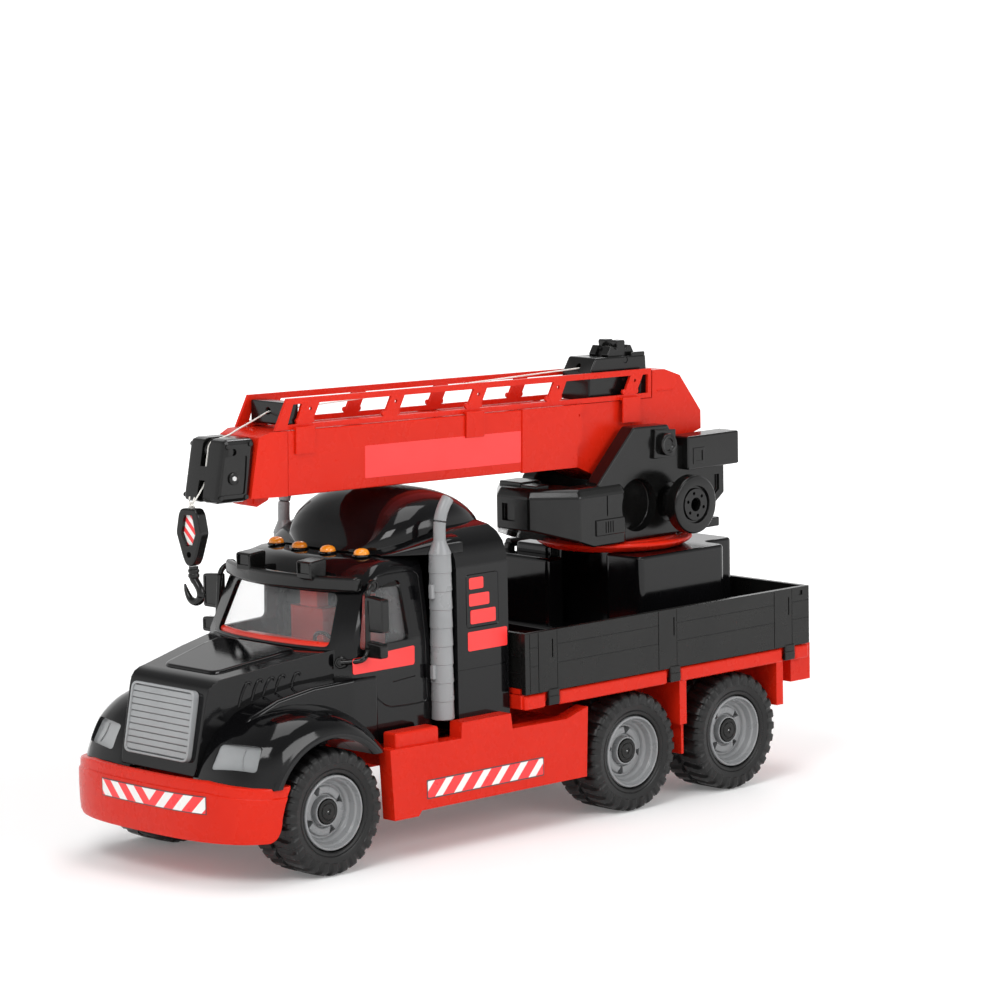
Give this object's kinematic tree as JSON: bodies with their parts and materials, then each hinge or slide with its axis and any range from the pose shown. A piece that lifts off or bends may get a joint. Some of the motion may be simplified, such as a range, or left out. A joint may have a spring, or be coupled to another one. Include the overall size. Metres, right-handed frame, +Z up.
{
  "type": "toy crane truck",
  "caption": "Toy three-axle bonneted lorry with a drop-side bed and a slewing crane whose boom luffs, telescopes and hoists a hook on a cord.",
  "frame": {"origin": "centre of the bounding box's bottom face, on the ground", "axes": "+X towards the bumper, +Y to the truck's left, +Z up"},
  "size_m": [0.567, 0.2028, 0.3282],
  "materials": {
    "red_plastic": "semi-gloss",
    "black_gloss_plastic": "high gloss",
    "black_satin_plastic": "satin",
    "grey_plastic": "satin",
    "amber_plastic": "gloss, slightly see-through",
    "clear_plastic": "clear moulded plastic",
    "tyre_plastic": "satin hard plastic",
    "steel": "bright",
    "white_cord": "twisted cord"
  },
  "bodies": {
    "chassis": {"chassis_frame": "red_plastic", "front_bumper": "red_plastic", "cab_shell": "black_gloss_plastic", "cab_glazing": "clear_plastic", "cab_interior": "red_plastic", "steering_wheel": "black_satin_plastic", "radiator_grille": "grey_plastic", "left_headlight": "grey_plastic", "right_headlight": "grey_plastic", "left_inner_roof_light": "amber_plastic", "left_outer_roof_light": "amber_plastic", "right_inner_roof_light": "amber_plastic", "right_outer_roof_light": "amber_plastic", "sun_visor": "black_satin_plastic", "left_mirror": "black_satin_plastic", "right_mirror": "black_satin_plastic", "left_exhaust_stack": "grey_plastic", "right_exhaust_stack": "grey_plastic", "sleeper_deflector": "black_gloss_plastic", "bed_floor": "red_plastic", "headboard": "black_satin_plastic", "crane_base": "black_gloss_plastic", "turntable_ring": "red_plastic"},
    "front_wheels": {"front_left_tyre": "tyre_plastic", "front_left_rim": "grey_plastic", "front_right_tyre": "tyre_plastic", "front_right_rim": "grey_plastic", "front_axle": "steel"},
    "mid_wheels": {"mid_left_tyre": "tyre_plastic", "mid_left_rim": "grey_plastic", "mid_right_tyre": "tyre_plastic", "mid_right_rim": "grey_plastic", "mid_axle": "steel"},
    "rear_wheels": {"rear_left_tyre": "tyre_plastic", "rear_left_rim": "grey_plastic", "rear_right_tyre": "tyre_plastic", "rear_right_rim": "grey_plastic", "rear_axle": "steel"},
    "left_board": {"left_side_board": "black_satin_plastic"},
    "right_board": {"right_side_board": "black_satin_plastic"},
    "tailgate_board": {"tailgate": "black_satin_plastic"},
    "turret": {"turret_casing": "black_satin_plastic", "luffing_pin": "steel"},
    "luff_knob": {"luffing_knob": "black_satin_plastic"},
    "boom": {"boom_foot": "red_plastic", "boom_sleeve": "red_plastic", "left_lattice_rail": "red_plastic", "right_lattice_rail": "red_plastic", "winch_housing": "black_satin_plastic", "rope_guide": "black_satin_plastic", "cord_along_boom": "white_cord"},
    "winch": {"winch_wheel": "black_satin_plastic"},
    "telescope": {"inner_boom": "red_plastic", "boom_head": "black_satin_plastic", "head_pin": "steel", "cord_over_head": "white_cord"},
    "pulley": {"head_pulley": "black_satin_plastic"},
    "rope_end": {"cord_knot": "white_cord"},
    "hook_block_body": {"hook_block": "black_satin_plastic"},
    "hook_body": {"hook": "black_satin_plastic"}
  },
  "joints": [
    {"name": "front_axle_spin", "type": "hinge", "parent": "chassis", "child": "front_wheels", "pos_m": [0.1955, 0, 0.0433], "axis": [0, 1, 0], "continuous": true},
    {"name": "mid_axle_spin", "type": "hinge", "parent": "chassis", "child": "mid_wheels", "pos_m": [-0.089, 0, 0.0433], "axis": [0, 1, 0], "continuous": true},
    {"name": "rear_axle_spin", "type": "hinge", "parent": "chassis", "child": "rear_wheels", "pos_m": [-0.1945, 0, 0.0433], "axis": [0, 1, 0], "continuous": true},
    {"name": "left_board_hinge", "type": "hinge", "parent": "chassis", "child": "left_board", "pos_m": [-0.1245, 0.0994, 0.0935], "axis": [-1, 0, 0], "range_deg": [0, 110]},
    {"name": "right_board_hinge", "type": "hinge", "parent": "chassis", "child": "right_board", "pos_m": [-0.1245, -0.0994, 0.0935], "axis": [1, 0, 0], "range_deg": [0, 110]},
    {"name": "tailgate_hinge", "type": "hinge", "parent": "chassis", "child": "tailgate_board", "pos_m": [-0.2731, 0, 0.1012], "axis": [0, -1, 0], "range_deg": [0, 95]},
    {"name": "slew", "type": "hinge", "parent": "chassis", "child": "turret", "pos_m": [-0.1705, 0, 0.176], "axis": [0, 0, 1], "continuous": true},
    {"name": "boom_luff", "type": "hinge", "parent": "turret", "child": "boom", "pos_m": [-0.1825, 0, 0.252], "axis": [0, -1, 0], "range_deg": [0, 55]},
    {"name": "luff_knob_turn", "type": "hinge", "parent": "turret", "child": "luff_knob", "pos_m": [-0.1905, 0, 0.2084], "axis": [0, -1, 0], "range_deg": [-221, 1]},
    {"name": "boom_extend", "type": "slide", "parent": "boom", "child": "telescope", "axis": [0.9997, 0, 0.0244], "range_m": [0, 0.09]},
    {"name": "winch_turn", "type": "hinge", "parent": "boom", "child": "winch", "pos_m": [-0.17099, 0, 0.3133], "axis": [0, -1, 0], "range_deg": [0, 308]},
    {"name": "head_pulley_turn", "type": "hinge", "parent": "telescope", "child": "pulley", "pos_m": [0.20788, 0, 0.28195], "axis": [0, 1, 0], "range_deg": [-1, 330]},
    {"name": "hook_swing", "type": "hinge", "parent": "telescope", "child": "rope_end", "pos_m": [0.2305, 0, 0.2475], "axis": [0, -1, 0], "range_deg": [-55.5, 0.5]},
    {"name": "hoist", "type": "slide", "parent": "rope_end", "child": "hook_block_body", "axis": [0, 0, -1], "range_m": [0, 0.035]},
    {"name": "hook_swivel", "type": "hinge", "parent": "hook_block_body", "child": "hook_body", "pos_m": [0.2305, 0, 0.203], "axis": [0, 0, 1], "continuous": true}
  ],
  "couplings": [
    {"joint": "luff_knob_turn", "follows": "boom_luff", "ratio": -4},
    {"joint": "hook_swing", "follows": "boom_luff", "ratio": -1},
    {"joint": "hoist", "follows": "winch_turn", "m_per_rad": 0.0065},
    {"joint": "head_pulley_turn", "follows": "winch_turn", "ratio": 0.855}
  ]
}
